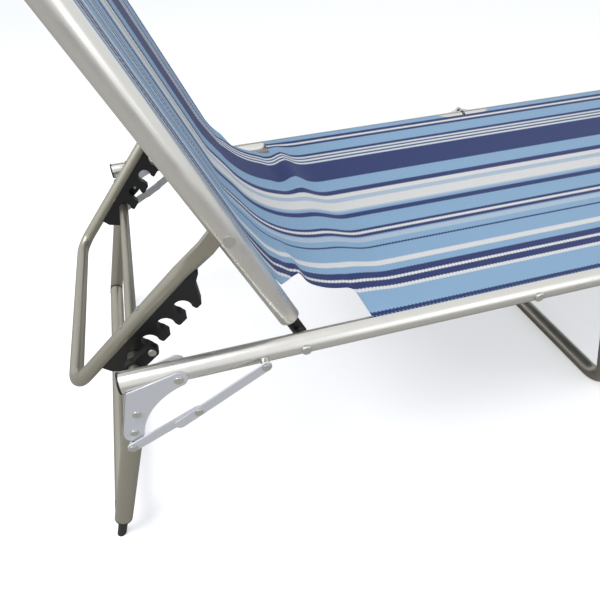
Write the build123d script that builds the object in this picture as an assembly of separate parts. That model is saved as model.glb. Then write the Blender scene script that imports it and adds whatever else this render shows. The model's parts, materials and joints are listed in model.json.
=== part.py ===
"""Folding sun lounger with a striped sling, an adjustable backrest and three folding leg frames.

Lengths are in millimetres. X runs along the rails towards the feet and is 0 at the rail's head end.
Y runs across, 0 in the middle, and the near side is negative. Z is up from the floor. Heights are mostly
given as a drop below the rail's axis. At the end everything moves so the footprint's middle is the origin.
"""
from build123d import *
from math import atan2, cos, degrees, hypot, radians, sin, tan
import os

# Main frame
rail_diameter = 25.0
rail_wall = 1.5
rail_spacing = 551.0
rail_height = 307.0
middle_length = 714.0
foot_length = 680.0
fold_gap = 6.0

# Clearances
clear = 0.4
bore_clear = 0.05
seat_clear = 0.02

# Groove that holds the sling's edge
groove_width = 3.0
groove_depth = 3.0
groove_wall = 1.2
groove_angle = 76.0

# Sling
sling_thickness = 1.2
seat_sag = 14.0
back_sag = 8.0
sling_hinge_gap = 17.0
sling_end_gap = 16.0
cutout_depth = 58.0
seat_cutout_length = 84.0
back_cutout_length = 64.0
cutout_radius = 8.0
fold_cut_depth = 16.0
fold_cut_length = 57.0
fold_cut_radius = 10.0

# Plugs and joiners inside tubes
plug_length = 24.0
plug_flange = 2.5
joiner_diameter = 15.8
joiner_length = 60.0
bow_radius = 55.0
bow_leg = 70.0

# Backrest
backrest_pivot_x = 203.5
backrest_angle = 64.5
backrest_length = 690.0
backrest_offset = 27.5
insert_start = 11.0
insert_tube_start = 20.0
insert_spigot = 34.0
insert_diameter = 15.8
bolt_diameter = 6.0
bolt_head_diameter = 12.0
bolt_head_height = 3.2
spacer_diameter = 13.0

# Backrest support
support_pivot_up = 150.0
support_angle = 45.2
support_length = 310.0
support_diameter = 18.0
support_wall = 1.5
support_top_offset = 46.5
support_bottom_offset = 98.0
support_bend = 30.0
flat_thickness = 7.0
flat_width = 18.0
flat_length = 30.0
flat_taper = 44.0

# Toothed comb under each support arm
comb_thickness = 13.0
comb_head = 150.0
comb_tail = 44.0
comb_depth = 16.5
comb_nose = 13.0
notch_pitch = 33.6
notch_count = 4
notch_clear = 2.8
notch_slant = 7.0
mouth_clear = 1.1
comb_rivet_back = 67.5
comb_rivet_pitch = 36.0
comb_rivet_diameter = 4.0
comb_head_diameter = 5.5
comb_head_height = 0.8
comb_round = 2.5
hook_cuts = (0.0, 20.0, 60.0, -20.0, -60.0)

# Cross tube the combs sit on
cross_tube_diameter = 15.0
cross_tube_wall = 1.2
cross_tube_drop = 32.0
clip_offset = 50.0
clip_thickness = 9.0
clip_wall = 3.5
clip_lobe_radius = 8.0
clip_lobe_reach = 33.0
clip_lobe_rise = 38.0

# Rear leg frame
leg_diameter = 25.0
leg_wall = 1.5
leg_top_x = 12.3
leg_top_drop = 19.3
leg_corner_x = -67.0
foot_rise = 57.0
leg_corner_drop = rail_height - foot_rise
leg_tail = 14.0
elbow_flange = 3.0
elbow_spigot = 32.0
foot_neck_diameter = 13.0

# Rear leg bracket
rear_pivot_x = 60.0
bracket_thickness = 2.0
bracket_ear_radius = 10.0
bracket_top_x = 15.0
bracket_top_drop = 3.5
bracket_bottom_drop = 72.0
bracket_foot_radius = 11.0
bracket_scoop_radius = 88.0
bracket_rivet_drops = (38.0, 68.0)
rivet_diameter = 5.0
rivet_head_diameter = 10.0
rivet_head_height = 2.0

# Folding stay
stay_width = 12.5
stay_thickness = 2.4
stay_gap = 0.5
stay_rail_x = 155.0
stay_rail_drop = 2.7
stay_leg_drop = 89.4
stay_mid_x = 72.0
stay_mid_drop = 50.4
stay_overlap = 27.0
stay_head_height = 1.4

# Middle and foot legs
middle_leg_setback = 64.0
middle_leg_x = middle_length - middle_leg_setback
middle_leg_angle = 68.0
swing_leg_offset = 27.5
foot_leg_setback = 110.0
foot_leg_angle = 70.0
swing_flat_thickness = 9.0
swing_flat_width = 15.0
swing_flat_length = 30.0
swing_flat_taper = 55.0
swing_bend = 40.0

# Fold between the middle and the foot section
fold_pivot_rise = 10.0
pin_tail_height = 0.9
plate_length = 38.0
plate_height = 20.0
plate_radius = 5.5
plate_thickness = 2.0
plate_rivet_near = 15.0
plate_rivet_far = 27.0
plate_rivet_drop = 2.0

# Cross tube under the seat
seat_tube_diameter = 19.0
seat_tube_x = 499.5
seat_tube_drop = 15.0
hanger_thickness = 3.0
hanger_width = 26.0

half = rail_spacing / 2
rail_radius = rail_diameter / 2
leg_radius = leg_diameter / 2
outer_face = half + rail_radius
inner_face = half - rail_radius
leg_slope = (leg_top_x - leg_corner_x) / (leg_corner_drop - leg_top_drop)


def at(x, y, drop):
    """A point given along the rail, across it and below the rail's axis."""
    return Vector(x, y, rail_height - drop)


def placed(x, drop, angle):
    """Place for a piece drawn along the floor, then turned nose down by an angle about its pin."""
    return Pos(at(x, 0, drop)) * Rot(0, angle, 0)


def rod(start, end, diameter):
    """Solid round bar between two points."""
    run = end - start
    place = Plane(origin=start, z_dir=run.normalized())
    return place * Cylinder(diameter / 2, run.length, align=(Align.CENTER, Align.CENTER, Align.MIN))


def tube(start, end, diameter, wall):
    """Open tube between two points."""
    return rod(start, end, diameter) - rod(start, end, diameter - 2 * wall)


def pin(x, y_from, y_to, diameter, drop=0.0):
    """Round bar straight across the lounger."""
    return rod(at(x, y_from, drop), at(x, y_to, drop), diameter)


def solids(*shapes):
    """Several solids as one group."""
    return Compound([solid for shape in shapes for solid in shape.solids()])


def pair(*shapes):
    """The near pieces and their twins on the far side, as separate solids."""
    return solids(*shapes, *[mirror(shape, about=Plane.XZ) for shape in shapes])


def domed(x, drop, face, diameter, height):
    """Low domed head standing out to the near side from a face at a distance from the middle."""
    head = pin(x, -face, -face - height, diameter, drop)
    rim = head.edges().filter_by(GeomType.CIRCLE).sort_by(Axis.Y)[:1]
    return fillet(rim, height / 2)


def inner_head(x, drop, face, diameter, height):
    """Low round head on the inner side of a near piece."""
    return pin(x, -face, -face + height, diameter, drop)


def slab(outline, y_from, y_to):
    """The part of a long upright bar that lies between two places across the lounger."""
    size = (rail_spacing + rail_height) * 4
    layer = Pos(0, (y_from + y_to) / 2, 0) * Box(size, y_to - y_from, size)
    return outline & layer


def disc(x, z, radius):
    """Long round bar across the lounger."""
    return Plane(origin=(x, rail_spacing, z), z_dir=(0, -1, 0)) * Cylinder(
        radius, rail_spacing * 2, align=(Align.CENTER, Align.CENTER, Align.MIN))


def corners(*points):
    """Long straight-sided bar across the lounger."""
    face = make_face(Polyline(*[(x, -rail_spacing, z) for x, z in points], close=True))
    return extrude(face, amount=rail_spacing * 2, dir=(0, 1, 0))


def side_tube(x_from, x_to, offset):
    """Near tube along X with the groove for the sling, drawn at height zero."""
    start, end = Vector(x_from, -offset, 0), Vector(x_to, -offset, 0)
    middle = Pos((x_from + x_to) / 2, -offset, 0) * Rot(groove_angle, 0, 0)
    length = abs(x_to - x_from)
    pocket = middle * Pos(0, rail_radius - groove_depth / 2 - groove_wall / 2, 0) * Box(
        length, groove_depth + groove_wall, groove_width + 2 * groove_wall)
    groove = middle * Pos(0, rail_radius, 0) * Box(length, 2 * groove_depth, groove_width)
    shell = tube(start, end, rail_diameter, rail_wall)
    return shell + (pocket & rod(start, end, rail_diameter)) - groove


def sling(x_from, x_to, offset, sag):
    """Cloth between two grooved tubes, hanging in an arc across, drawn at height zero."""
    reach = rail_radius + sling_thickness / 2
    edge = offset - reach * cos(radians(groove_angle))
    top = reach * sin(radians(groove_angle))
    half_thick = sling_thickness / 2

    def arc(shift):
        ends = [(x_from, side * edge, top + shift) for side in (-1, 1)]
        return ThreePointArc(ends[0], (x_from, 0, top - sag + shift), ends[1])

    upper, lower = arc(half_thick), arc(-half_thick)
    sides = [Line(upper @ place, lower @ place) for place in (0, 1)]
    cloth = extrude(make_face([upper, lower, *sides]), amount=x_to - x_from, dir=(1, 0, 0))
    depth = groove_depth - sling_thickness / 2
    hem = Pos((x_from + x_to) / 2, -offset, 0) * Rot(groove_angle, 0, 0) * Pos(
        0, reach - depth / 2, 0) * Box(x_to - x_from, depth + sling_thickness, sling_thickness)
    return cloth + hem + mirror(hem, about=Plane.XZ)


def edge_cut(x, length, depth, radius, offset):
    """Cutter for the two notches in the cloth's edges, reaching as far each way from a place."""
    block = extrude(RectangleRounded(2 * length, 2 * depth, radius), amount=rail_height, both=True)
    near = Pos(x, -offset, 0) * block
    return near + mirror(near, about=Plane.XZ)


def hinge_cut(x, length, offset):
    """Cutter for the deep notches beside the backrest's pivot."""
    return edge_cut(x, length, cutout_depth, cutout_radius, offset)


def bow(x_end, direction, offset):
    """Bent tube that closes the end of a pair of side tubes."""
    x_start = x_end - direction * bow_leg
    points = [(x_start, -offset), (x_end, -offset), (x_end, offset), (x_start, offset)]
    path = FilletPolyline(*points, radius=bow_radius)
    section = Plane(origin=(x_start, -offset, 0), z_dir=(direction, 0, 0))
    outer = sweep(section * Circle(rail_radius), path=path)
    return outer - sweep(section * Circle(rail_radius - rail_wall), path=path)


def joiners(x, offset):
    """Round plugs that hold a bow to its side tubes."""
    near = rod(Vector(x - joiner_length / 2, -offset, 0), Vector(x + joiner_length / 2, -offset, 0),
               joiner_diameter)
    return pair(near)


def flat_end(thickness, width, length, taper, diameter, splay):
    """Flattened tube end around a pin at the origin, growing into a round tube along X."""
    side = width / 2
    body = disc(0, 0, side) + corners((0, -side), (length, -side), (length, side), (0, side))
    flat = slab(body, -thickness / 2, thickness / 2)
    start = Plane(origin=(length, 0, 0), x_dir=(0, 1, 0), z_dir=(1, 0, 0)) * Rectangle(thickness, width)
    far = length + taper
    end = Plane(origin=(far, splay * far, 0), z_dir=(1, splay, 0)) * Circle(diameter / 2)
    return flat + loft([start, end])


# Rails and what is fixed to them
def main_rail():
    rail = Pos(at(0, 0, 0)) * side_tube(0, middle_length - fold_gap / 2, half)
    reach = bolt_diameter + 2 * bore_clear
    for x in (backrest_pivot_x, seat_tube_x, middle_leg_x):
        rail -= pin(x, -outer_face - clear, -inner_face + clear, reach)
    small = rivet_diameter + 2 * bore_clear
    rail -= pin(rear_pivot_x, -outer_face - clear, -inner_face + clear, small)
    rail -= pin(stay_rail_x, -outer_face - clear, -inner_face + clear, small, stay_rail_drop)
    for back in (plate_rivet_near, plate_rivet_far):
        rail -= pin(middle_length - back, -outer_face - clear, -inner_face + clear, small, plate_rivet_drop)
    return rail


def rail_plug(x, direction, y):
    """Plastic plug with a thin flange in an open tube end."""
    start = at(x, y, 0)
    flange = rod(start, start + Vector(-direction * plug_flange, 0, 0), rail_diameter)
    spigot = rod(start, start + Vector(direction * plug_length, 0, 0), joiner_diameter)
    return flange + spigot


def seat_bar():
    """Tube across the seat that keeps the rails apart, below the cloth."""
    reach = inner_face - clear - hanger_thickness
    return tube(at(seat_tube_x, -reach, seat_tube_drop), at(seat_tube_x, reach, seat_tube_drop),
                seat_tube_diameter, cross_tube_wall)


def hanger():
    """Small plate that hangs the seat's tube from the inner side of the near rail."""
    radius = hanger_width / 2
    low, high = rail_height - seat_tube_drop, rail_height
    left, right = seat_tube_x - radius, seat_tube_x + radius
    outline = disc(seat_tube_x, low, radius) + corners((left, low), (right, low), (right, high), (left, high))
    plate = slab(outline, -inner_face + clear, -inner_face + clear + hanger_thickness)
    return plate + pin(seat_tube_x, -inner_face + clear, -inner_face + clear + hanger_thickness,
                       bolt_head_diameter + 2 * cross_tube_wall)


def hanger_bolt():
    """Bolt through the rail and its hanger."""
    shank = pin(seat_tube_x, -outer_face, -inner_face + clear + hanger_thickness, bolt_diameter)
    return shank + domed(seat_tube_x, 0, outer_face, bolt_head_diameter, bolt_head_height)


def pivot_bolt(x, inner_end, last=0.0):
    """Bolt through the rail and the piece that turns on it, with a domed head and a nut."""
    shank = pin(x, -outer_face, -inner_end, bolt_diameter)
    head = domed(x, 0, outer_face, bolt_head_diameter, bolt_head_height)
    nut = pin(x, -inner_end + clear, -inner_end + clear + bolt_head_height, bolt_head_diameter)
    return shank + head + nut + pin(x, -inner_end, -inner_end + clear, bolt_diameter)


def spacer(x, y_from, y_to, drop=0.0):
    """Washer between the rail and the piece beside it."""
    hole = bolt_diameter + 2 * bore_clear
    return pin(x, y_from, y_to, spacer_diameter, drop) - pin(x, y_from, y_to, hole, drop)


# Rear leg frame
def leg_point(drop, y=0.0):
    """Point on the rear leg's axis at a drop below the rail."""
    return at(leg_top_x - leg_slope * (drop - leg_top_drop), y, drop)


leg_down = (leg_point(leg_corner_drop) - leg_point(leg_top_drop)).normalized()
cross_x = leg_point(cross_tube_drop).X
plate_outer = outer_face + clear
plate_inner = inner_face - clear
rivet_face = plate_outer + bracket_thickness


def rear_leg():
    """Near leg tube with its rivet holes."""
    start = leg_point(leg_top_drop, -half)
    end = leg_point(leg_corner_drop, -half) + leg_down * leg_tail
    leg = tube(start, end, leg_diameter, leg_wall)
    for drop in (*bracket_rivet_drops, stay_leg_drop):
        x = leg_point(drop).X
        leg -= pin(x, -outer_face - clear, -inner_face + clear, rivet_diameter + 2 * bore_clear, drop)
    return leg


def rear_foot():
    """Plug in the bottom of the near leg with the stub that stands on the floor."""
    end = leg_point(leg_corner_drop, -half) + leg_down * leg_tail
    length = (end.Z) / -leg_down.Z + foot_neck_diameter
    stub = rod(end, end + leg_down * length, foot_neck_diameter)
    collar = rod(end, end + leg_down * elbow_flange, leg_diameter)
    spigot = rod(end, end - leg_down * (leg_tail - elbow_flange), leg_diameter - 2 * leg_wall)
    floor = Pos(0, 0, 0) * Box(rail_spacing * 4, rail_spacing * 4, rail_height,
                               align=(Align.CENTER, Align.CENTER, Align.MAX))
    return stub + collar + spigot - floor


def top_plug():
    """Plug in the top of the near rear leg."""
    start = leg_point(leg_top_drop, -half)
    cap = rod(start, start - leg_down * elbow_flange / 2, leg_diameter - 2 * leg_wall)
    return cap + rod(start, start + leg_down * elbow_flange * 3, leg_diameter - 2 * leg_wall)


def bottom_bar():
    """Tube between the two rear legs near the floor."""
    reach = inner_face - elbow_flange
    return tube(leg_point(leg_corner_drop, -reach), leg_point(leg_corner_drop, reach), leg_diameter, leg_wall)


def elbow():
    """Plastic saddle and spigot that joins the bottom bar to the near leg."""
    saddle = rod(leg_point(leg_corner_drop, -half), leg_point(leg_corner_drop, -inner_face + elbow_flange),
                 leg_diameter)
    spigot = rod(leg_point(leg_corner_drop, -inner_face), leg_point(
        leg_corner_drop, -inner_face + elbow_flange + elbow_spigot), leg_diameter - 2 * leg_wall - seat_clear)
    start, end = leg_point(leg_top_drop, -half), leg_point(rail_height * 2, -half)
    return saddle + spigot - rod(start, end, leg_diameter + seat_clear)


def cross_bar():
    """Tube between the two inner brackets that carries the support's combs."""
    reach = plate_inner - bracket_thickness
    return tube(at(cross_x, -reach, cross_tube_drop), at(cross_x, reach, cross_tube_drop),
                cross_tube_diameter, cross_tube_wall)


def bracket_plate(y_from, y_to):
    """One side plate that ties the leg to the rail's pivot."""
    bottom = leg_point(bracket_bottom_drop)
    ear = disc(rear_pivot_x, rail_height, bracket_ear_radius)
    foot = disc(bottom.X, bottom.Z, bracket_foot_radius)
    lean = leg_slope * bracket_foot_radius
    left = corners(
        (bracket_top_x - bracket_foot_radius, rail_height - bracket_top_drop),
        (rear_pivot_x - bracket_ear_radius / 2, rail_height + bracket_ear_radius * cos(radians(30))),
        (rear_pivot_x + bracket_ear_radius / 2, rail_height - bracket_ear_radius * cos(radians(30))),
        (bottom.X + bracket_foot_radius, bottom.Z - lean),
        (bottom.X - bracket_foot_radius, bottom.Z + lean))
    low = Vector(bottom.X + bracket_foot_radius, 0, bottom.Z - lean)
    high = Vector(rear_pivot_x + bracket_ear_radius / 2, 0,
                  rail_height - bracket_ear_radius * cos(radians(30)))
    across = high - low
    out = Vector(across.Z, 0, -across.X).normalized()
    back = (bracket_scoop_radius ** 2 - (across.length / 2) ** 2) ** 0.5
    centre = (low + high) * 0.5 + out * back
    outline = left - disc(centre.X, centre.Z, bracket_scoop_radius) + ear + foot
    plate = slab(outline, y_from, y_to)
    hole = rivet_diameter + 2 * bore_clear
    plate -= pin(rear_pivot_x, y_from, y_to, hole)
    for drop in bracket_rivet_drops:
        plate -= pin(leg_point(drop).X, y_from, y_to, hole, drop)
    return plate


def headed_rivet(x, drop, outer, inner):
    """Rivet across the near side with a domed head outside, flush inside."""
    return pin(x, -outer, -inner, rivet_diameter, drop) + domed(
        x, drop, outer, rivet_head_diameter, rivet_head_height)


def through_rivet(x, drop, outer, inner):
    """Rivet across the near side with a domed outer head and a flat inner head."""
    return headed_rivet(x, drop, outer, inner) + inner_head(
        x, drop, inner, rivet_head_diameter, rivet_head_height)


def clip():
    """Plastic clip on the cross tube, with a lobe that takes a small rivet."""
    y_from = -half + clip_offset
    y_to = y_from + clip_thickness
    centre = at(cross_x, 0, cross_tube_drop)
    rise = radians(clip_lobe_rise)
    lobe = Vector(centre.X + clip_lobe_reach * cos(rise), 0, centre.Z + clip_lobe_reach * sin(rise))
    side = Vector(-sin(rise), 0, cos(rise)) * clip_lobe_radius
    web = corners(*[(p.X, p.Z) for p in (centre + side, lobe + side, lobe - side, centre - side)])
    ring = disc(centre.X, centre.Z, cross_tube_diameter / 2 + clip_wall)
    body = slab(ring + web + disc(lobe.X, lobe.Z, clip_lobe_radius), y_from, y_to)
    body -= pin(cross_x, y_from, y_to, cross_tube_diameter + 2 * seat_clear, cross_tube_drop)
    return body - pin(lobe.X, y_from, y_to, rivet_diameter + 2 * bore_clear, rail_height - lobe.Z)


def clip_rivet():
    """Rivet in the clip's lobe."""
    rise = radians(clip_lobe_rise)
    x = cross_x + clip_lobe_reach * cos(rise)
    drop = cross_tube_drop - clip_lobe_reach * sin(rise)
    outer = half - clip_offset
    shank = pin(x, -outer, -outer + clip_thickness, rivet_diameter, drop)
    return shank + domed(x, drop, outer, rivet_head_diameter, rivet_head_height)


# Folding stays
stay_leg_x = leg_point(stay_leg_drop).X
stay_inner = rivet_face + rivet_head_height + stay_gap
stay_outer = stay_inner + stay_thickness + stay_gap


def stay(x, drop, x_end, drop_end, extra, face):
    """Flat bar from its pin towards the middle joint, with a hole at its pin."""
    length = hypot(x_end - x, drop_end - drop) + extra
    angle = degrees(atan2(drop_end - drop, x_end - x))
    bar = disc(0, 0, stay_width / 2) + disc(length, 0, stay_width / 2) + corners(
        (0, stay_width / 2), (length, stay_width / 2), (length, -stay_width / 2), (0, -stay_width / 2))
    shape = placed(x, drop, angle) * slab(bar, -face - stay_thickness, -face)
    return shape - pin(x, -face - stay_thickness, -face, rivet_diameter + 2 * bore_clear, drop)


def stay_pin(x, drop, face):
    """Shouldered rivet that carries one end of a stay on a tube."""
    shoulder = pin(x, -outer_face, -face + stay_gap, rivet_head_diameter, drop)
    shank = pin(x, -inner_face, -face - stay_thickness - stay_gap, rivet_diameter, drop)
    head = domed(x, drop, face + stay_thickness + stay_gap, rivet_head_diameter, stay_head_height)
    return shoulder + shank + head + inner_head(x, drop, inner_face, rivet_head_diameter, rivet_head_height)


# Backrest, drawn flat along -X and turned up about its pin
back_place = placed(backrest_pivot_x, 0, backrest_angle)
back_half = half - backrest_offset
support_gap = (backrest_offset + rail_radius, support_top_offset - flat_thickness / 2)


def back_tube():
    shape = side_tube(-backrest_length + bow_leg, -insert_tube_start, back_half)
    hole = bolt_diameter + 2 * bore_clear
    y = -back_half
    centre = Vector(-support_pivot_up, 0, 0)
    drill = rod(centre + Vector(0, y - rail_diameter, 0), centre + Vector(0, y + rail_diameter, 0), hole)
    return shape - drill


def back_insert():
    """Plastic end of the near backrest tube that turns on the rail's bolt."""
    y = -back_half
    stem = rod(Vector(insert_start, y, 0), Vector(-insert_tube_start - insert_spigot, y, 0), insert_diameter)
    hole = rod(Vector(0, y - rail_radius, 0), Vector(0, y + rail_radius, 0), bolt_diameter + 2 * bore_clear)
    return stem - hole


def support_bolt():
    """Bolt through the near backrest tube and the support's flat end."""
    y_out = -back_half - rail_radius
    y_in = -half + support_top_offset + flat_thickness / 2 + clear
    place = Vector(-support_pivot_up, 0, 0)
    shank = rod(place + Vector(0, y_out, 0), place + Vector(0, y_in, 0), bolt_diameter)
    nut = rod(place + Vector(0, y_in, 0), place + Vector(0, y_in + bolt_head_height, 0), bolt_head_diameter)
    head = rod(place + Vector(0, y_out - bolt_head_height / 2, 0), place + Vector(0, y_out, 0),
               bolt_head_diameter)
    return shank + nut + head


def support_washer():
    """Plastic washer between the near backrest tube and the support."""
    place = Vector(-support_pivot_up, 0, 0)
    y_from = -half + support_gap[0]
    y_to = -half + support_gap[1] - clear
    outer = rod(place + Vector(0, y_from, 0), place + Vector(0, y_to, 0), spacer_diameter)
    inner = rod(place + Vector(0, y_from, 0), place + Vector(0, y_to, 0), bolt_diameter + 2 * bore_clear)
    return outer - inner


# Backrest support, drawn flat along -X from its pin and turned down
support_pivot_x = backrest_pivot_x - support_pivot_up * cos(radians(backrest_angle))
support_pivot_drop = -support_pivot_up * sin(radians(backrest_angle))
support_place = placed(support_pivot_x, support_pivot_drop, -support_angle)
support_half_top = half - support_top_offset
support_half_low = half - support_bottom_offset
arm_start = flat_length + flat_taper
arm_splay = (support_half_top - support_half_low) / support_length


def arm_y(distance):
    """Where the near arm's axis is across the lounger at a distance from the pin."""
    return -support_half_top + arm_splay * distance


def support_path():
    points = [(-arm_start, arm_y(arm_start)), (-support_length, arm_y(support_length)),
              (-support_length, -arm_y(support_length)), (-arm_start, -arm_y(arm_start))]
    return FilletPolyline(*points, radius=support_bend)


def support_frame():
    """Bent tube with two flattened ends."""
    path = support_path()
    section = Plane(origin=path @ 0, z_dir=path % 0)
    frame = sweep(section * Circle(support_diameter / 2), path=path)
    frame -= sweep(section * Circle(support_diameter / 2 - support_wall), path=path)
    end = flat_end(flat_thickness, flat_width, flat_length, flat_taper, support_diameter, arm_splay)
    near = Pos(0, -support_half_top, 0) * mirror(end, about=Plane.YZ)
    near -= rod(Vector(0, -half, 0), Vector(0, -support_half_low, 0), bolt_diameter + 2 * bore_clear)
    return frame + near + mirror(near, about=Plane.XZ)


def notch_places():
    """Notch centres as distance along the arm and depth below it; the last sits on the cross tube."""
    turn = radians(support_angle)
    dx = support_pivot_x - cross_x
    dz = cross_tube_drop - support_pivot_drop
    along = dx * cos(turn) + dz * sin(turn)
    below = dz * cos(turn) - dx * sin(turn)
    return [(along - notch_pitch * step, below) for step in reversed(range(notch_count))]


def comb():
    """Toothed plastic strip under the near arm, drawn with the support flat."""
    places = notch_places()
    last, below = places[-1]
    start, end = last - comb_head, last + comb_tail
    deep = below + comb_depth
    spine = below - comb_nose / 2
    outline = corners((-start, 0), (-end, 0), (-end, -spine), (-end + comb_nose, -deep),
                      (-start - notch_pitch, -deep), (-start - comb_nose, -spine), (-start, -comb_nose))
    lean = degrees(atan2(arm_splay, 1))
    strip = slab(outline, -comb_thickness / 2, comb_thickness / 2)
    strip = Pos(0, arm_y(0), 0) * Rot(0, 0, -lean) * strip
    radius = cross_tube_diameter / 2 + notch_clear
    mouth = cross_tube_diameter / 2 + mouth_clear
    slant = tan(radians(notch_slant))
    wide = rail_spacing / 2
    for along, depth in places:
        centre = depth + notch_clear - clear
        low = depth + comb_depth * 2
        shift = slant * comb_depth * 2
        slot = corners((-along - mouth, -depth), (-along + mouth, -depth),
                       (-along - shift + mouth, -low), (-along - shift - mouth, -low))
        cut = disc(-along, -centre, radius) + slot
        strip -= slab(cut, -wide, 0)
    tips = [edge for edge in strip.edges().filter_by(Axis.Y) if edge.center().Z < -deep + clear]
    strip = fillet(tips, radius=comb_round)
    arm = rod(Vector(0, arm_y(0), 0), Vector(-support_length, arm_y(support_length), 0),
              support_diameter + 2 * seat_clear)
    strip -= arm
    strip -= rod(Vector(0, arm_y(0), 0), Vector(-arm_start, arm_y(arm_start), 0),
                 hypot(flat_width, flat_thickness) + 2 * clear)
    for hole in comb_rivets_at():
        strip -= comb_rivet(hole, bore_clear)
    return strip.solids().sort_by(SortBy.VOLUME)[-1]


def comb_parts():
    """The comb's strip, and its end around the last notch in plain pieces that meet face to face."""
    along, below = notch_places()[-1]
    whole = comb()
    join = Plane(origin=(notch_pitch / 2 - along, 0, 0), z_dir=(1, 0, 0))
    strip, end = split(whole, bisect_by=join, keep=Keep.BOTH).solids().sort_by(Axis.X, reverse=True)
    pieces = [end]
    for turn in hook_cuts:
        facing = (cos(radians(turn)), 0, -sin(radians(turn)))
        cut = Plane(origin=(-along, 0, -below - notch_clear + clear), z_dir=facing)
        halves = [split(piece, bisect_by=cut, keep=Keep.BOTH) for piece in pieces]
        pieces = [solid for half_pair in halves for solid in half_pair.solids()]
    return strip, pieces


def comb_rivets_at():
    """Distances along the arm of the rivets that hold a comb."""
    first = notch_places()[-1][0] - comb_rivet_back
    return [first, first + comb_rivet_pitch]


def comb_rivet(distance, extra=0.0):
    """Short rivet through the near arm into the comb, wider by an extra on each side."""
    base = Vector(-distance, arm_y(distance), 0)
    low = base - Vector(0, 0, support_diameter / 2 + comb_nose / 3)
    high = base + Vector(0, 0, support_diameter / 2 + seat_clear)
    return rod(low, high, comb_rivet_diameter + 2 * extra)


def comb_rivet_head(distance):
    """Head of a comb's rivet on top of the near arm."""
    high = Vector(-distance, arm_y(distance), support_diameter / 2 + seat_clear)
    return rod(high, high + Vector(0, 0, comb_head_height), comb_head_diameter)


# Legs that swing from a rail
def swing_leg(x, angle):
    """Bent tube leg with flattened ends on the rail's bolts."""
    length = (rail_height - leg_radius) / sin(radians(angle))
    offset = half - swing_leg_offset
    start = swing_flat_length + swing_flat_taper
    path = FilletPolyline((start, -offset), (length, -offset), (length, offset), (start, offset),
                          radius=swing_bend)
    section = Plane(origin=path @ 0, z_dir=path % 0)
    frame = sweep(section * Circle(leg_radius), path=path)
    frame -= sweep(section * Circle(leg_radius - leg_wall), path=path)
    end = Pos(0, -offset, 0) * flat_end(swing_flat_thickness, swing_flat_width, swing_flat_length,
                                        swing_flat_taper, leg_diameter, 0)
    end -= rod(Vector(0, -half, 0), Vector(0, -offset + leg_diameter, 0), bolt_diameter + 2 * bore_clear)
    return placed(x, 0, angle) * (frame + end + mirror(end, about=Plane.XZ))


# Fold between the middle and the foot section
def fold_plate(direction, face):
    """Plate on a rail's end that stands up to the fold's pin."""
    x_far = middle_length + direction * plate_length
    top = rail_height + fold_pivot_rise
    base = rail_height - plate_height / 2
    outline = corners((middle_length + direction * fold_gap, base), (x_far - direction * plate_radius, base),
                      (x_far, rail_height), (x_far - direction * plate_radius, rail_height + plate_radius),
                      (middle_length + direction * plate_radius, top + plate_radius / 3),
                      (middle_length, top), (middle_length + direction * fold_gap, rail_height))
    plate = slab(outline + disc(middle_length, top, plate_radius), -face - plate_thickness, -face)
    hole = rivet_diameter + 2 * bore_clear
    plate -= pin(middle_length, -face - plate_thickness, -face, hole, -fold_pivot_rise)
    for back in (plate_rivet_near, plate_rivet_far):
        plate -= pin(middle_length + direction * back, -face - plate_thickness, -face, hole, plate_rivet_drop)
    return plate


fixed_plate_face = outer_face + seat_clear
foot_plate_face = fixed_plate_face + plate_thickness + clear


def fold_pin():
    """Rivet on which the foot section turns."""
    outer = foot_plate_face + plate_thickness + clear
    shank = pin(middle_length, -outer, -fixed_plate_face + clear, rivet_diameter, -fold_pivot_rise)
    head = domed(middle_length, -fold_pivot_rise, outer, rivet_head_diameter, rivet_head_height)
    tail = pin(middle_length, -fixed_plate_face + seat_clear, -fixed_plate_face + pin_tail_height,
               rivet_head_diameter, -fold_pivot_rise)
    return shank + head + tail


def plate_rivets(direction, face):
    """Rivets that hold one plate to its rail."""
    shapes = []
    for back in (plate_rivet_near, plate_rivet_far):
        x = middle_length + direction * back
        shank = pin(x, -face - plate_thickness, -inner_face, rivet_diameter, plate_rivet_drop)
        shapes.append(shank + domed(x, plate_rivet_drop, face + plate_thickness, rivet_head_diameter,
                                    stay_head_height))
    return shapes


# Foot section
foot_start = middle_length + fold_gap / 2
foot_end = middle_length + foot_length
foot_leg_x = foot_end - foot_leg_setback


def foot_rail():
    rail = Pos(at(0, 0, 0)) * side_tube(foot_start, foot_end - bow_leg, half)
    rail -= pin(foot_leg_x, -outer_face - clear, -inner_face + clear, bolt_diameter + 2 * bore_clear)
    for back in (plate_rivet_near, plate_rivet_far):
        x = middle_length + back
        rail -= pin(x, -outer_face - clear, -inner_face + clear, rivet_diameter + 2 * bore_clear,
                    plate_rivet_drop)
    return rail


def plate_packer():
    """Thin packing strip between a foot rail and its plate."""
    x_from = middle_length + fold_gap
    middle = (x_from + middle_length + plate_length - plate_radius) / 2
    size = middle_length + plate_length - plate_radius - x_from
    block = Pos(middle, -(outer_face + foot_plate_face) / 2, rail_height) * Box(
        size, foot_plate_face - outer_face - seat_clear, plate_radius)
    for back in (plate_rivet_near, plate_rivet_far):
        block -= pin(middle_length + back, -foot_plate_face, -outer_face, rivet_diameter + 2 * bore_clear,
                     plate_rivet_drop)
    return block


swing_inner = half - swing_leg_offset + swing_flat_thickness / 2
swing_end = half - swing_leg_offset - swing_flat_thickness / 2
back_inner = back_half + insert_diameter / 2
up = Pos(at(0, 0, 0))
fold_cut = edge_cut(middle_length, fold_cut_length, fold_cut_depth, fold_cut_radius, half)
near_rail = main_rail()
near_foot_rail = foot_rail()

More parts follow.
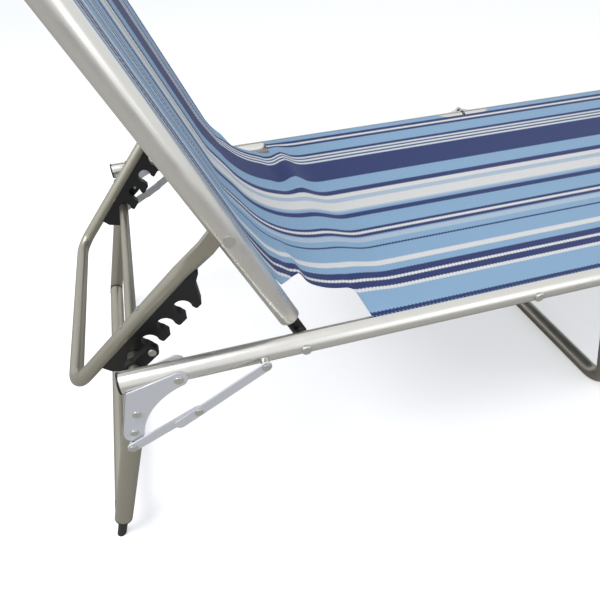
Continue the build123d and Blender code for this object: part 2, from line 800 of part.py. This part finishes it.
nodes = {
    "rail_near": near_rail,
    "rail_far": mirror(near_rail, about=Plane.XZ),
    "rail_plugs": pair(rail_plug(0, 1, -half)),
    "seat_sling": up * (sling(backrest_pivot_x + sling_hinge_gap, middle_length - sling_end_gap, half,
                              seat_sag) - hinge_cut(backrest_pivot_x, seat_cutout_length, half) - fold_cut),
    "seat_bar": seat_bar(),
    "seat_bar_hangers": pair(hanger() - pin(seat_tube_x, -half, 0, bolt_diameter + 2 * bore_clear)),
    "hanger_bolts": pair(hanger_bolt()),
    "backrest_bolts": pair(pivot_bolt(backrest_pivot_x, back_half - insert_diameter / 2)),
    "backrest_spacers": pair(spacer(backrest_pivot_x, -inner_face, -back_inner - clear)),
    "middle_leg_bolts": pair(pivot_bolt(middle_leg_x, swing_end)),
    "middle_leg_spacers": pair(spacer(middle_leg_x, -inner_face, -swing_inner - clear)),
    "rear_pivot_rivets": pair(through_rivet(rear_pivot_x, 0, rivet_face + seat_clear,
                                            plate_inner - bracket_thickness - seat_clear)),
    "stay_rail_pins": pair(stay_pin(stay_rail_x, stay_rail_drop, stay_outer)),
    "fold_plates": pair(fold_plate(-1, fixed_plate_face)),
    "fold_plate_rivets": pair(*plate_rivets(-1, fixed_plate_face)),
    "fold_pins": pair(fold_pin()),
    "rear_legs": pair(rear_leg()),
    "rear_cross_bar": cross_bar(),
    "rear_bottom_bar": bottom_bar(),
    "rear_brackets": pair(bracket_plate(-rivet_face, -plate_outer),
                          bracket_plate(-plate_inner, -plate_inner + bracket_thickness)),
    "bracket_rivets": pair(*[make(leg_point(drop).X, drop, rivet_face, plate_inner - bracket_thickness)
                             for make, drop in zip((headed_rivet, through_rivet), bracket_rivet_drops)]),
    "rear_elbows": pair(elbow()),
    "rear_feet": pair(rear_foot()),
    "rear_top_plugs": pair(top_plug()),
    "cross_bar_clips": pair(clip()),
    "clip_rivets": pair(clip_rivet()),
    "stay_leg_pins": pair(stay_pin(stay_leg_x, stay_leg_drop, stay_inner)),
}

upper_stay = stay(stay_rail_x, stay_rail_drop, stay_mid_x, stay_mid_drop, stay_overlap, stay_outer)
lower_stay = stay(stay_leg_x, stay_leg_drop, stay_mid_x, stay_mid_drop, 0, stay_inner)
outer_button = domed(stay_mid_x, stay_mid_drop, stay_outer + stay_thickness, rivet_head_diameter,
                     stay_head_height)
nodes["stay_upper_near"] = upper_stay
nodes["stay_upper_far"] = mirror(upper_stay, about=Plane.XZ)
nodes["stay_lower_near"] = lower_stay
nodes["stay_lower_far"] = mirror(lower_stay, about=Plane.XZ)
nodes["stay_button_near"] = outer_button
nodes["stay_button_far"] = mirror(outer_button, about=Plane.XZ)

near_back = back_place * back_tube()
back_top = -backrest_length + bow_leg
nodes["backrest_tube_near"] = near_back
nodes["backrest_tube_far"] = mirror(near_back, about=Plane.XZ)
nodes["backrest_bow"] = back_place * bow(-backrest_length, -1, back_half)
nodes["backrest_joiners"] = back_place * joiners(back_top, back_half)
nodes["back_sling"] = back_place * (sling(back_top + sling_end_gap, -sling_hinge_gap, back_half, back_sag)
                                    - hinge_cut(0, back_cutout_length, back_half))
nodes["backrest_inserts"] = back_place * pair(back_insert())
nodes["support_bolts"] = back_place * pair(support_bolt())
nodes["support_washers"] = back_place * pair(support_washer())

nodes["support_frame"] = support_place * (support_frame() - pair(
    *[comb_rivet(place, bore_clear) for place in comb_rivets_at()]))
comb_strip, comb_hook = comb_parts()
nodes["support_combs"] = support_place * pair(comb_strip)
nodes["comb_end_hooks"] = support_place * pair(*comb_hook)
nodes["comb_rivets"] = support_place * pair(
    *[comb_rivet(place) + comb_rivet_head(place) for place in comb_rivets_at()])

nodes["middle_leg"] = swing_leg(middle_leg_x, middle_leg_angle)

nodes["foot_rail_near"] = near_foot_rail
nodes["foot_rail_far"] = mirror(near_foot_rail, about=Plane.XZ)
nodes["foot_bow"] = up * bow(foot_end, 1, half)
nodes["foot_joiners"] = up * joiners(foot_end - bow_leg, half)
nodes["foot_sling"] = up * (sling(middle_length + sling_end_gap, foot_end - bow_leg - sling_end_gap, half,
                                  seat_sag) - fold_cut)
nodes["foot_plates"] = pair(fold_plate(1, foot_plate_face))
nodes["foot_plate_packers"] = pair(plate_packer())
nodes["foot_plate_rivets"] = pair(*plate_rivets(1, foot_plate_face))
nodes["foot_leg_bolts"] = pair(pivot_bolt(foot_leg_x, swing_end))
nodes["foot_leg_spacers"] = pair(spacer(foot_leg_x, -inner_face, -swing_inner - clear))
nodes["foot_leg"] = swing_leg(foot_leg_x, foot_leg_angle)

boxes = [shape.bounding_box() for shape in nodes.values()]
low = [min(getattr(box.min, axis) for box in boxes) for axis in "XYZ"]
high = [max(getattr(box.max, axis) for box in boxes) for axis in "XYZ"]
shift = Pos(-(low[0] + high[0]) / 2, -(low[1] + high[1]) / 2, -low[2])

os.makedirs("parts", exist_ok=True)
for name, shape in nodes.items():
    export_step(shift * shape, "parts/" + name + ".step")
    print(name, len(shape.solids()), round(shape.volume), shape.is_valid)

size = [round(top - base, 2) for top, base in zip(high, low)]
print("size", size, "moved by", round(-(low[0] + high[0]) / 2, 3), round(-low[2], 3))
for name, x, drop in (("backrest", backrest_pivot_x, 0), ("support", support_pivot_x, support_pivot_drop),
                      ("rear leg", rear_pivot_x, 0), ("stay on rail", stay_rail_x, stay_rail_drop),
                      ("stay on leg", stay_leg_x, stay_leg_drop), ("middle leg", middle_leg_x, 0),
                      ("fold", middle_length, -fold_pivot_rise), ("foot leg", foot_leg_x, 0),
                      ("stay middle", stay_mid_x, stay_mid_drop), ("cross bar", cross_x, cross_tube_drop)):
    spot = at(x, 0, drop)
    print(name, round(spot.X - (low[0] + high[0]) / 2, 2), round(spot.Z - low[2], 2))
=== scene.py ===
# %% [markdown]
# # Folding sun lounger
#
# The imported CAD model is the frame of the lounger. This script gives the frame its finishes,
# hangs the striped cloth between the tubes and sets the camera, the floor and the light.
# All lengths are in metres unless a name says otherwise.

# %% Load the frame
import json
from math import cos, exp, pi, radians, sin, tan

import bpy
from mathutils import Matrix, Vector


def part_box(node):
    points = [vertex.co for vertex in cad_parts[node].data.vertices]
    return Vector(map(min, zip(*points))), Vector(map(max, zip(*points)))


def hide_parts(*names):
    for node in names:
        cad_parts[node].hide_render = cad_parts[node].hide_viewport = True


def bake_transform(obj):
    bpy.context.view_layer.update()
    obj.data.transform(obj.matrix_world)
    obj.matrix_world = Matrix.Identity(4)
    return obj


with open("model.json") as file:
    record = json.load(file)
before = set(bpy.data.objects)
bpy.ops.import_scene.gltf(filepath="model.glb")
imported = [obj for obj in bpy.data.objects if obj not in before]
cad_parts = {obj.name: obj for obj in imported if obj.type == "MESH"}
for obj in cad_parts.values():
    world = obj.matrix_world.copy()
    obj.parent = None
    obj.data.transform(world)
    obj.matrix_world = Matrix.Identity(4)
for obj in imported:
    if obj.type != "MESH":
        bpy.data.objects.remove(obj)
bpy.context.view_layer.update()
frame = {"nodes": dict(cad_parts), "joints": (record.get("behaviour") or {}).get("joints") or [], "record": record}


def box_of(node):
    """Lowest and highest corner of one CAD node."""
    low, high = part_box(node)
    return Vector(low), Vector(high)


joints = {joint["name"]: joint for joint in frame["joints"]}

# %% [markdown]
# The cloth follows the frame, so its sizes come from the tubes and the two hinges that it crosses.

# %% Read the frame's places
rail_low, rail_high = box_of("rail_near")
foot_high = box_of("foot_rail_near")[1]
bow_low = box_of("backrest_bow")[0]
tube_radius = (rail_high.z - rail_low.z) / 2
rail_z = (rail_high.z + rail_low.z) / 2
rail_y = -(rail_high.y + rail_low.y) / 2
hinge = Vector(joints["backrest_hinge"]["pos_m"])
fold = Vector(joints["foot_section_hinge"]["pos_m"])
prop = Vector(joints["support_hinge"]["pos_m"])
back_way = (prop - hinge).normalized()
back_angle = back_way.angle(Vector((-1, 0, 0)))
back_low, back_high = box_of("backrest_tube_near")
back_y = -(back_high.y + back_low.y) / 2
print("rail height", round(rail_z, 4), "backrest angle", round(back_angle * 180 / pi, 1))

# %% [markdown]
# ## Finishes
#
# Each material is named for what the real surface is. Colours are written as the eye sees them and
# turned into linear values by one function. The mix node's colour sockets are found by their places,
# because several of its sockets share a name.

# %% Material helpers
first_colour, second_colour, mixed_colour = 6, 7, 2


def linear(code):
    """Linear colour from a hex code in sRGB."""
    parts = [int(code[place:place + 2], 16) / 255 for place in (1, 3, 5)]
    bent = [part / 12.92 if part <= 0.04045 else ((part + 0.055) / 1.055) ** 2.4 for part in parts]
    return (*bent, 1.0)


def node(tree, kind, inputs=None, **settings):
    """Adds one node, with its settings and its input values or links."""
    made = tree.nodes.new(kind)
    for name, value in settings.items():
        setattr(made, name, value)
    for socket, value in (inputs or {}).items():
        if isinstance(value, bpy.types.NodeSocket):
            tree.links.new(value, made.inputs[socket])
        else:
            made.inputs[socket].default_value = value
    return made


def mix(tree, share, first, second):
    """Colour between two others, each of them a value or a link."""
    inputs = {"Factor": share, first_colour: first, second_colour: second}
    return node(tree, "ShaderNodeMix", inputs, data_type="RGBA").outputs[mixed_colour]


def material(name, **inputs):
    """New material with a principled surface. Returns it, its tree and the surface's node."""
    made = bpy.data.materials.new(name)
    made.use_nodes = True
    tree = made.node_tree
    surface = tree.nodes["Principled BSDF"]
    for socket, value in inputs.items():
        surface.inputs[socket.replace("_", " ")].default_value = value
    return made, tree, surface


def bump(tree, surface, height, strength, distance):
    """Joins a height to the surface's normal."""
    made = node(tree, "ShaderNodeBump", {"Height": height, "Strength": strength, "Distance": distance})
    tree.links.new(made.outputs["Normal"], surface.inputs["Normal"])


print("white is", linear("#FFFFFF"))

# %% [markdown]
# Drawn tube has a soft sheen whose gloss varies slowly, over a very fine grain. The powder coat on the
# legs is a warm grey metallic paint with a fine texture.

# %% Metal finishes
gloss_scale, gloss_less, gloss_more = 35.0, 0.05, 0.07


def mottled(tree, scale, low, high):
    """Noise in object space, spread between two values."""
    place = node(tree, "ShaderNodeTexCoord")
    noise = node(tree, "ShaderNodeTexNoise",
                 {"Vector": place.outputs["Object"], "Scale": scale, "Detail": 4.0})
    spread = node(tree, "ShaderNodeMapRange",
                  {"Value": noise.outputs["Fac"], "From Min": 0.3, "From Max": 0.7,
                   "To Min": low, "To Max": high})
    return spread.outputs["Result"]


def metal(name, colour, metallic, roughness, grain, coat=0.0):
    """Metal or metallic paint with uneven gloss and a fine surface texture."""
    made, tree, surface = material(name, Base_Color=linear(colour), Metallic=metallic, Coat_Weight=coat,
                                   Coat_Roughness=0.25)
    gloss = mottled(tree, gloss_scale, roughness - gloss_less, roughness + gloss_more)
    tree.links.new(gloss, surface.inputs["Roughness"])
    bump(tree, surface, mottled(tree, grain, 0.0, 1.0), strength=0.08, distance=0.00006)
    return made


finishes = {
    "aluminium_tube": metal("drawn_aluminium_satin", "#E2E0DB", 1.0, 0.30, 900.0),
    "leg_tube": metal("warm_grey_metallic_powder_coat", "#AEAA9C", 0.85, 0.36, 1400.0, coat=0.15),
    "bracket_steel": metal("light_grey_powder_coat", "#EEF0F5", 0.25, 0.42, 1600.0, coat=0.1),
    "rivet_steel": metal("zinc_plated_steel", "#CFCFCA", 1.0, 0.28, 1100.0),
}
print("metals", len(finishes))

# %% [markdown]
# The combs, plugs and feet are moulded plastic with a fine spark-eroded grain.

# %% Plastic finish
plastic, plastic_tree, plastic_surface = material("black_moulded_polypropylene", Base_Color=linear("#131416"),
                                                  Roughness=0.46)
plastic_grain = mottled(plastic_tree, 1800.0, 0.0, 1.0)
bump(plastic_tree, plastic_surface, plastic_grain, strength=0.15, distance=0.00008)
finishes["black_plastic"] = plastic
print("plastic", plastic.name)

# %% [markdown]
# The cloth is coated yarn in a twill with stripes along the lounger. The stripes are listed across the
# cloth, in millimetres from the near rail's axis. Their edges step from yarn to yarn. Along the ridges of
# the twill the colour is painted a little darker and lighter, as painted shade and painted highlight where
# the ridges catch the light.

# %% Cloth finish
sky, navy, cream, mist = linear("#95B8D5"), linear("#26366C"), linear("#EEECE8"), linear("#BDCEDC")
stripes_mm = [
    (3, 10, navy), (50, 57, cream), (57, 71, navy), (71, 77, cream), (77, 91, navy), (106, 118, cream),
    (153, 157, navy), (171, 183, mist), (186, 194, navy), (194, 201, cream), (201, 208, navy),
    (245, 258, navy), (265, 270, mist), (270, 297, cream), (297, 310, mist), (310, 323, cream),
    (323, 337, navy), (374, 441, navy), (442, 447, cream), (448, 452, navy), (453, 459, cream),
    (459, 463, navy), (464, 469, cream), (470, 478, navy), (511, 519, navy), (519, 526, cream),
    (526, 535, navy),
]
yarn = 0.0024
twill = 0.0026
# Painted shade and painted highlight: how much darker and lighter the colour is painted along the twill's ridges.
ridge_painted_shade, ridge_painted_highlight = 0.78, 1.22


def math_node(tree, operation, *values):
    """One arithmetic node."""
    made = node(tree, "ShaderNodeMath", dict(enumerate(values)), operation=operation)
    return made.outputs["Value"]


def cloth_finish():
    """Striped twill that reads its place across and along the cloth from the UV map, in metres."""
    made, tree, surface = material("coated_twill_cloth_striped", Roughness=0.62, Sheen_Weight=0.05,
                                   Specular_IOR_Level=0.3)
    place = node(tree, "ShaderNodeUVMap", uv_map="cloth")
    split = node(tree, "ShaderNodeSeparateXYZ", {"Vector": place.outputs["UV"]})
    across, along = split.outputs["X"], split.outputs["Y"]
    step = math_node(tree, "PINGPONG", along, yarn)
    jagged = math_node(tree, "ADD", across, math_node(tree, "SUBTRACT", step, yarn / 2))
    colour = sky
    for start, end, shade in stripes_mm:
        # Halved, and from millimetres to metres
        middle, reach = (start + end) / 2000, (end - start) / 2000
        inside = math_node(tree, "COMPARE", jagged, middle, reach)
        colour = mix(tree, inside, colour, shade)
    diagonal = math_node(tree, "ADD", across, along)
    ridge = math_node(tree, "PINGPONG", diagonal, twill / 2)
    ridge = math_node(tree, "DIVIDE", ridge, twill / 2)
    # Painted shade and highlight on the twill's ridges: the stripe colour's value is lowered and raised along
    # them.
    value = node(tree, "ShaderNodeMapRange",
                 {"Value": ridge, "To Min": ridge_painted_shade, "To Max": ridge_painted_highlight})
    ridge_painted_light = node(tree, "ShaderNodeHueSaturation",
                 {"Value": value.outputs["Result"], "Color": colour})
    tree.links.new(ridge_painted_light.outputs["Color"], surface.inputs["Base Color"])
    bump(tree, surface, ridge, strength=0.35, distance=0.0003)
    return made


finishes["striped_cloth"] = cloth_finish()
for obj in frame["nodes"].values():
    slot_name = next(part["material_slot"] for part in frame["record"]["subparts"]
                     if part["node"] == obj.name.split(".")[0])
    obj.material_slots[0].material = finishes[slot_name]
print("finishes", sorted(finishes))

# %% [markdown]
# ## Cloth
#
# The cloth is drawn as rows across the lounger. A row has a place along the cloth's run, and its two ends
# lie at the tubes or at the edge of a notch. The run goes up the backrest, round an easy bend at the
# hinge, along the seat and on to the foot section. The seam lies just under the tube's surface, on the
# upper inner side.

# %% Cloth run
seam_share, seam_angle = 0.97, radians(76)
lift = tube_radius * seam_share * sin(seam_angle)
edge_in = tube_radius * seam_share * cos(seam_angle)
bend_radius = 0.130
turn = back_angle
corner_x = hinge.x + lift / tan((pi - turn) / 2)
bend_reach = bend_radius * tan(turn / 2)
bend_length = bend_radius * turn
corner = Vector((corner_x, 0, rail_z + lift))
bend_start = corner + Vector((bend_reach, 0, 0))
back_top = (bow_low - hinge).dot(back_way)
print("bend starts", [round(value, 4) for value in bend_start])

# %% [markdown]
# The cloth has a notch on both sides beside the backrest's hinge, and a shallow one at the fold. The first
# is listed in pairs: a share of its length, from its seat end to its back end, and its depth there.

# %% Cloth outline
seat_notch, back_notch = 0.084, 0.064
notch_depths = [(0.0, 0.058), (0.06, 0.061), (0.35, 0.061), (0.6, 0.065), (0.67, 0.071), (0.76, 0.062),
                (0.88, 0.045), (1.0, 0.029)]
fold_notch, fold_notch_ease, fold_notch_depth = 0.057, 0.012, 0.016
top_inset, fold_inset, foot_inset = 0.050, 0.014, 0.016
corner_gap = lift / tan((pi - turn) / 2)
notch_start = seat_notch - corner_gap - bend_reach
notch_end = -(bend_length + back_notch - corner_gap - bend_reach)
split_at = fold.x - fold_inset - bend_start.x
top_end = -(bend_length + back_top - top_inset)
foot_end = foot_high.x - foot_inset - bend_start.x
side_half, back_half = rail_y - edge_in, back_y - edge_in


def smooth(value, low, high):
    """Eased step from 0 at low to 1 at high."""
    share = min(max((value - low) / (high - low), 0.0), 1.0)
    return share * share * (3 - 2 * share)


def run_point(run):
    """Place and downward direction of the cloth's seam line at a place along its run."""
    if run >= 0:
        return bend_start + Vector((run, 0, 0)), Vector((0, 0, -1))
    angle = min(-run / bend_radius, turn)
    past = max(-run - bend_length, 0.0)
    place = bend_start + bend_radius * Vector((-sin(angle), 0, 1 - cos(angle)))
    return place + past * Vector((-cos(angle), 0, sin(angle))), Vector((-sin(angle), 0, -cos(angle)))


def seam_half(run):
    """Half the cloth's width between its seams."""
    return back_half + (side_half - back_half) * smooth(run, notch_end, notch_start)


def notch_depth(run):
    """How far the cloth is cut back from the tube's axis beside the hinge."""
    share = (notch_start - run) / (notch_start - notch_end)
    for (start, low), (end, high) in zip(notch_depths, notch_depths[1:]):
        if start <= share <= end:
            return low + (high - low) * (share - start) / (end - start)
    return 0.0


def edge_half(run):
    """Half the cloth's width at its cut edge."""
    reach = seam_half(run)
    if notch_end < run < notch_start:
        return rail_y - notch_depth(run)
    beside = abs(run + bend_start.x - fold.x)
    cut = 1 - smooth(beside, fold_notch - fold_notch_ease, fold_notch)
    return reach - cut * (fold_notch_depth - edge_in)


print("notch from", round(notch_start, 4), "to", round(notch_end, 4), "along the run")

# %% [markdown]
# The tubes hold the cloth at its seam lines, and between them it hangs in a shallow arc. Beside the hinge
# its free edges curl up, and slack lies in soft creases. A crease or hollow has a height, a middle and a
# reach along the run. The pairs say where a form fades in or out.

# %% Cloth slack
seat_sag, back_sag, curl_height = 0.0145, 0.0085, 0.006
near_crease, far_crease, far_hollow = (0.005, -0.082, 0.010), (0.007, 0.010, 0.013), (0.003, -0.018, 0.012)
seat_fade, back_fade = (-0.006, 0.055), (-bend_length - 0.03, 0.02 - bend_length)
curl_starts, curl_ends = (notch_end, notch_end + 0.02), (notch_start - 0.012, notch_start + 0.004)
near_fade, far_starts, far_ends = (0.09, 0.19), (0.02, 0.10), (0.19, 0.262)


def crease(run, shape):
    """Height of one crease at a place along the run."""
    height, middle, reach = shape
    return height * exp(-((run - middle) / reach) ** 2)


def hang(run, across):
    """How far the cloth hangs below its seam line, with the curl and the creases at the notches."""
    share = min(abs(across) / seam_half(run), 1.0)
    sag = seat_sag * smooth(run, *seat_fade) + back_sag * (1 - smooth(run, *back_fade))
    free = smooth(run, *curl_starts) * (1 - smooth(run, *curl_ends))
    curl = curl_height * free * share ** 3
    near = crease(run, near_crease) * smooth(-across, *near_fade)
    wide = smooth(across, *far_starts) * (1 - smooth(across, *far_ends))
    far = (crease(run, far_crease) - crease(run, far_hollow)) * wide
    return sag * (1 - share * share) - curl - near - far


print("middle of the seat hangs", round(hang(split_at / 2, 0.0), 4))

# %% [markdown]
# Rows lie closer together along the notch beside the hinge, and closest where it begins and ends.

# %% Cloth rows
columns, outer_columns = 96, 14
inner_half = 0.185
row_step, fine_rows = 0.009, 40
mark_reach, clear_from, clear_to = 0.0004, 0.0005, 0.003


def row_places(start, end):
    """Places of the rows between two ends of a piece, in order."""
    steps = round((end - start) / row_step)
    places = {start, end} | {start + (end - start) * step / steps for step in range(1, steps)}
    for mark in (notch_start, notch_end):
        if start < mark < end:
            places |= {mark - mark_reach, mark + mark_reach}
            places -= {place for place in places if clear_from < abs(place - mark) < clear_to}
    fine = {notch_end + (notch_start - notch_end) * step / fine_rows for step in range(1, fine_rows)}
    places |= {place for place in fine if start < place < end}
    return sorted(places)


def row_across(run):
    """Places across one row, from its near edge to its far edge."""
    reach = edge_half(run)
    middle = [inner_half * (2 * column / columns - 1) for column in range(columns + 1)]
    outer = [inner_half + (reach - inner_half) * step / outer_columns
             for step in range(1, outer_columns + 1)]
    return [-value for value in reversed(outer)] + middle + outer


print("rows", len(row_places(top_end, split_at)), "and", len(row_places(split_at, foot_end)))

# %% [markdown]
# Each piece is a grid of these rows, with its flat place in a UV map, and is then given its thickness.

# %% Cloth mesh
thickness = 0.0010
rim_angle = radians(50)


def thickened(piece):
    """The piece's mesh as a thin solid, with smooth faces and sharp rims."""
    skin = piece.modifiers.new("thickness", "SOLIDIFY")
    skin.thickness = thickness
    skin.offset = 0.0
    drawn = piece.evaluated_get(bpy.context.evaluated_depsgraph_get())
    thick = bpy.data.meshes.new_from_object(drawn)
    thick.set_sharp_from_angle(angle=rim_angle)
    piece.modifiers.clear()
    return thick


def cloth_piece(name, start, end):
    """Cloth between two places along the run. Returns it and its flat area."""
    rows = row_places(start, end)
    points, flats = [], []
    for run in rows:
        seam, down = run_point(run)
        for across in row_across(run):
            spot = seam + down * hang(run, across)
            points.append((spot.x, across, spot.z))
            flats.append((across + rail_y, run))
    wide = columns + 2 * outer_columns + 1
    faces = [[row * wide + column + step for step in (0, 1, wide + 1, wide)]
             for row in range(len(rows) - 1) for column in range(wide - 1)]
    mesh = bpy.data.meshes.new(name)
    mesh.from_pydata(points, [], faces)
    layer = mesh.uv_layers.new(name="cloth")
    for loop in mesh.loops:
        layer.data[loop.index].uv = flats[loop.vertex_index]
    mesh.shade_smooth()
    mesh.materials.append(finishes["striped_cloth"])
    piece = bpy.data.objects.new(name, mesh)
    bpy.context.collection.objects.link(piece)
    piece.data = thickened(piece)
    area = sum((high - low) * (edge_half(low) + edge_half(high)) for low, high in zip(rows, rows[1:]))
    return piece, area


upper, upper_area = cloth_piece("cloth_back_and_seat", top_end, split_at)
lower, lower_area = cloth_piece("cloth_foot", split_at, foot_end)
print("corners", len(upper.data.vertices), "and", len(lower.data.vertices))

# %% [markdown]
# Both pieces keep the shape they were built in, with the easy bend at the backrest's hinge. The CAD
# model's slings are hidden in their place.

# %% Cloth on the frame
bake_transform(upper)
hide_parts("seat_sling", "back_sling")
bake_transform(lower)
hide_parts("foot_sling")
print("areas", round(upper_area, 3), round(lower_area, 3))

# %% [markdown]
# ## Floor, light and camera
#
# The floor and the surroundings are plain and pale. The floor still shows the lounger's soft shadow.

# %% Floor and surroundings


def by_ray(tree, seen, mirrored, lit):
    """Colour for what the camera sees, for what metal mirrors and for what lights the lounger."""
    path = node(tree, "ShaderNodeLightPath")
    lit_or_mirrored = mix(tree, path.outputs["Is Glossy Ray"], lit, mirrored)
    return mix(tree, path.outputs["Is Camera Ray"], lit_or_mirrored, seen)


floor_material, floor_tree, floor_surface = material(
    "pale_matt_floor", Roughness=0.9, Specular_IOR_Level=0.0, Emission_Strength=1.0)
floor_colour = by_ray(floor_tree, linear("#FAFAFA"), linear("#BDBAB4"), linear("#9A9894"))
floor_glow = by_ray(floor_tree, linear("#B8B8B8"), linear("#3C3B39"), linear("#000000"))
floor_tree.links.new(floor_colour, floor_surface.inputs["Base Color"])
floor_tree.links.new(floor_glow, floor_surface.inputs["Emission Color"])
bpy.ops.mesh.primitive_plane_add(size=14.0, location=(0, 0, 0))
floor = bpy.context.object
floor.name = "floor"
floor.data.materials.append(floor_material)

world = bpy.data.worlds.new("studio")
world.use_nodes = True
studio = world.node_tree
studio_colour = by_ray(studio, linear("#FFFFFF"), linear("#F2F4F6"), linear("#B4B8C0"))
studio.links.new(studio_colour, studio.nodes["Background"].inputs["Color"])
studio.nodes["Background"].inputs["Strength"].default_value = 1.0
scene = bpy.context.scene
scene.world = world
scene.view_settings.view_transform = "Standard"
print("floor", floor.name, "surroundings", world.name)

# %% [markdown]
# A soft light stands above the head end and a weaker one on the near side. Both face a point near the
# middle of the main rails.

# %% Lights
aim_along = 0.35
aim = Vector((rail_low.x + aim_along, 0, rail_z))


def softbox(name, place, size, power):
    """Square area light that faces the lounger."""
    lamp = bpy.data.lights.new(name, "AREA")
    lamp.shape, lamp.size, lamp.energy = "SQUARE", size, power
    made = bpy.data.objects.new(name, lamp)
    made.location = place
    made.rotation_mode = "QUATERNION"
    made.rotation_quaternion = (aim - Vector(place)).to_track_quat("-Z", "Y")
    bpy.context.collection.objects.link(made)
    return made


key = softbox("key", place=(-1.6, -0.6, 2.6), size=1.6, power=38.0)
fill = softbox("fill", place=(1.2, -2.4, 1.6), size=1.8, power=8.0)
print("lights", key.name, fill.name)

# %% [markdown]
# The camera stands close to the near rail's head end and looks down across the lounger.

# %% Camera
camera_data = bpy.data.cameras.new("camera")
camera = bpy.data.objects.new("camera", camera_data)
bpy.context.collection.objects.link(camera)
azimuth, elevation, roll = radians(13.13), radians(45.30), radians(3.46)
ahead, aside, above = 0.0983, 0.3784, 0.3749
forward = Vector((sin(azimuth) * cos(elevation), cos(azimuth) * cos(elevation), -sin(elevation)))
level = Vector((cos(azimuth), -sin(azimuth), 0))
below = forward.cross(level)
side = cos(roll) * level + sin(roll) * below
up = sin(roll) * level - cos(roll) * below
turned = Matrix((side, up, -forward)).transposed()
place = Vector((rail_low.x + ahead, -rail_y - aside, rail_z + above))
camera.matrix_world = Matrix.Translation(place) @ turned.to_4x4()
camera_data.lens = 28.65
camera_data.shift_x, camera_data.shift_y = 0.0172, 0.0940
camera_data.clip_start = 0.01
camera_data.dof.use_dof = False
scene.camera = camera
print("camera", [round(value, 3) for value in place])

# %% Hand over
bpy.context.view_layer.update()
